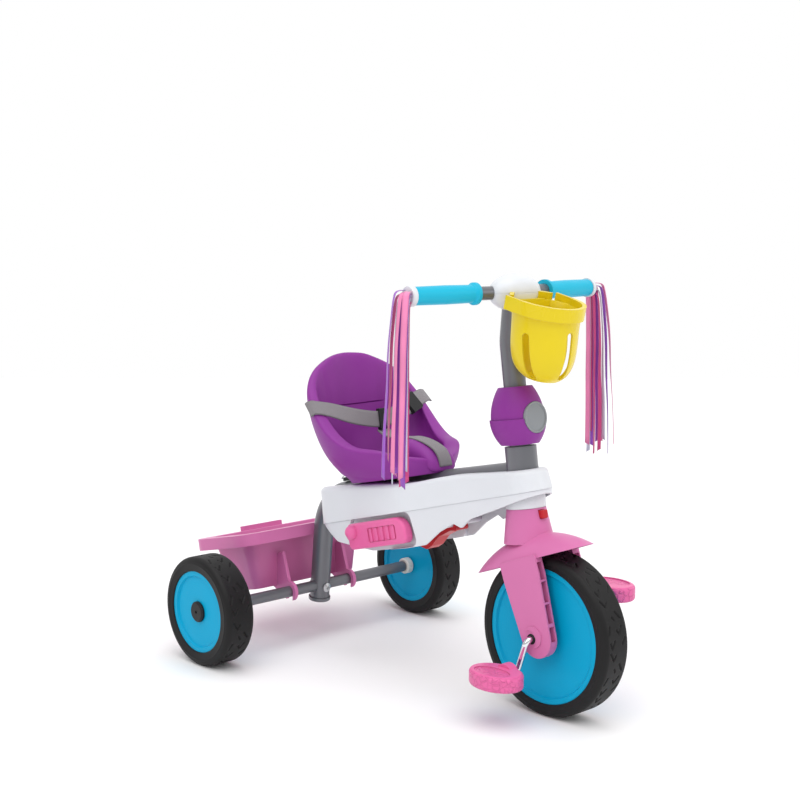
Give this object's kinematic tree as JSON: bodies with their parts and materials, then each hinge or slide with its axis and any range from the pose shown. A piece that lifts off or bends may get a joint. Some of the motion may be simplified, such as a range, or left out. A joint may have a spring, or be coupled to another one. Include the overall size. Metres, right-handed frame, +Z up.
{
  "type": "children's tricycle",
  "caption": "Child's tricycle with steered front wheel and pedals, bucket seat with belt, folding footrests, rear bin, basket and handlebar streamers.",
  "frame": {"origin": "on the floor, midway along and across the tricycle", "axes": "+X forward, +Y to the rider's left, +Z up"},
  "size_m": [0.789, 0.496, 0.61],
  "materials": {
    "tyre_black": "matt moulded tread",
    "rim_blue": "smooth blue plastic",
    "frame_grey": "satin grey paint",
    "zinc_steel": "zinc plated",
    "chrome_rod": "polished",
    "white_plastic": "smooth white plastic",
    "pale_plastic": "pale bearing plastic",
    "pink_plastic": "smooth pink plastic",
    "purple_plastic": "fine-grained purple plastic",
    "yellow_plastic": "smooth yellow plastic",
    "blue_grip": "soft blue grip",
    "red_plastic": "smooth red plastic",
    "black_plastic": "matt black plastic",
    "grey_plastic": "smooth grey plastic",
    "grey_webbing": "woven webbing",
    "pink_ribbon": "satin ribbon",
    "rose_ribbon": "satin ribbon",
    "violet_ribbon": "satin ribbon",
    "white_ribbon": "satin ribbon"
  },
  "bodies": {
    "frame_body": {"frame": "frame_grey", "post_plug": "frame_grey", "rear_axle": "frame_grey", "axle_bolt": "zinc_steel", "axle_nut": "zinc_steel", "axle_bushes": "pale_plastic", "axle_caps": "black_plastic", "head_bushes": "black_plastic", "head_collar": "white_plastic", "upper_shell": "white_plastic", "lower_shell": "white_plastic", "footrest_pins": "zinc_steel", "rear_bin": "pink_plastic"},
    "rear_right_wheel": {"rear_right_tyre": "tyre_black", "rear_right_outer_rim": "rim_blue", "rear_right_inner_rim": "rim_blue"},
    "rear_left_wheel": {"rear_left_tyre": "tyre_black", "rear_left_outer_rim": "rim_blue", "rear_left_inner_rim": "rim_blue"},
    "lever": {"release_lever": "red_plastic"},
    "right_footrest": {"footrest_right": "pink_plastic"},
    "left_footrest": {"footrest_left": "pink_plastic"},
    "seat": {"seat_shell": "purple_plastic", "seat_saddle": "black_plastic", "lap_belt": "grey_webbing", "crotch_strap": "grey_webbing", "belt_slider": "black_plastic", "belt_buckle": "black_plastic"},
    "pull_pin": {"seat_pin": "zinc_steel", "pin_ring": "zinc_steel"},
    "steering": {"fork": "pink_plastic", "crank_bushes": "black_plastic", "stem": "frame_grey", "ball_lower": "purple_plastic", "ball_upper": "purple_plastic", "medallion": "grey_plastic", "handlebar": "frame_grey", "hub_upper": "white_plastic", "hub_lower": "white_plastic", "grip_right": "blue_grip", "grip_left": "blue_grip", "bar_right_plug": "white_plastic", "bar_left_plug": "white_plastic", "basket": "yellow_plastic", "streamer_right_pink": "pink_ribbon", "streamer_right_rose": "rose_ribbon", "streamer_right_violet": "violet_ribbon", "streamer_right_white": "white_ribbon", "streamer_left_pink": "pink_ribbon", "streamer_left_rose": "rose_ribbon", "streamer_left_violet": "violet_ribbon", "streamer_left_white": "white_ribbon"},
    "button": {"release_button": "red_plastic"},
    "front_wheel": {"front_tyre": "tyre_black", "front_right_rim": "rim_blue", "front_left_rim": "rim_blue", "crank": "chrome_rod"},
    "right_pedal": {"pedal_right": "pink_plastic"},
    "left_pedal": {"pedal_left": "pink_plastic"}
  },
  "joints": [
    {"name": "steer", "type": "hinge", "parent": "frame_body", "child": "steering", "pos_m": [0.2505, 0, 0.114], "axis": [-0.1392, 0, 0.9903], "range_deg": [-40, 40]},
    {"name": "front_wheel_spin", "type": "hinge", "parent": "steering", "child": "front_wheel", "pos_m": [0.2805, 0, 0.114], "axis": [0, 1, 0], "continuous": true},
    {"name": "right_pedal_spin", "type": "hinge", "parent": "front_wheel", "child": "right_pedal", "pos_m": [0.26422, -0.098, 0.06672], "axis": [0, 1, 0], "continuous": true},
    {"name": "left_pedal_spin", "type": "hinge", "parent": "front_wheel", "child": "left_pedal", "pos_m": [0.29678, 0.098, 0.16128], "axis": [0, 1, 0], "continuous": true},
    {"name": "rear_right_wheel_spin", "type": "hinge", "parent": "frame_body", "child": "rear_right_wheel", "pos_m": [-0.2295, -0.222, 0.085], "axis": [0, 1, 0], "continuous": true},
    {"name": "rear_left_wheel_spin", "type": "hinge", "parent": "frame_body", "child": "rear_left_wheel", "pos_m": [-0.2295, 0.222, 0.085], "axis": [0, 1, 0], "continuous": true},
    {"name": "right_footrest_fold", "type": "hinge", "parent": "frame_body", "child": "right_footrest", "pos_m": [-0.07622, -0.061, 0.20227], "axis": [-0.5774, 0.5774, -0.5774], "range_deg": [0, 120]},
    {"name": "left_footrest_fold", "type": "hinge", "parent": "frame_body", "child": "left_footrest", "pos_m": [-0.07622, 0.061, 0.20227], "axis": [0.5774, 0.5774, 0.5774], "range_deg": [0, 120]},
    {"name": "release_lever_pull", "type": "hinge", "parent": "frame_body", "child": "lever", "pos_m": [0.08987, 0, 0.23903], "axis": [0, -1, 0], "range_deg": [0, 15], "stiffness_Nm_per_rad": 0.3, "springref_deg": -17.19},
    {"name": "seat_slide", "type": "slide", "parent": "frame_body", "child": "seat", "axis": [0.9781, 0, 0.2079], "range_m": [0, 0.03]},
    {"name": "seat_pin_pull", "type": "slide", "parent": "seat", "child": "pull_pin", "axis": [-0.2079, 0, 0.9781], "range_m": [0, 0.008], "stiffness_N_per_m": 200, "springref_m": -0.004},
    {"name": "release_button_press", "type": "slide", "parent": "steering", "child": "button", "axis": [-0.9903, 0, -0.1392], "range_m": [0, 0.0035], "stiffness_N_per_m": 400, "springref_m": -0.002}
  ]
}
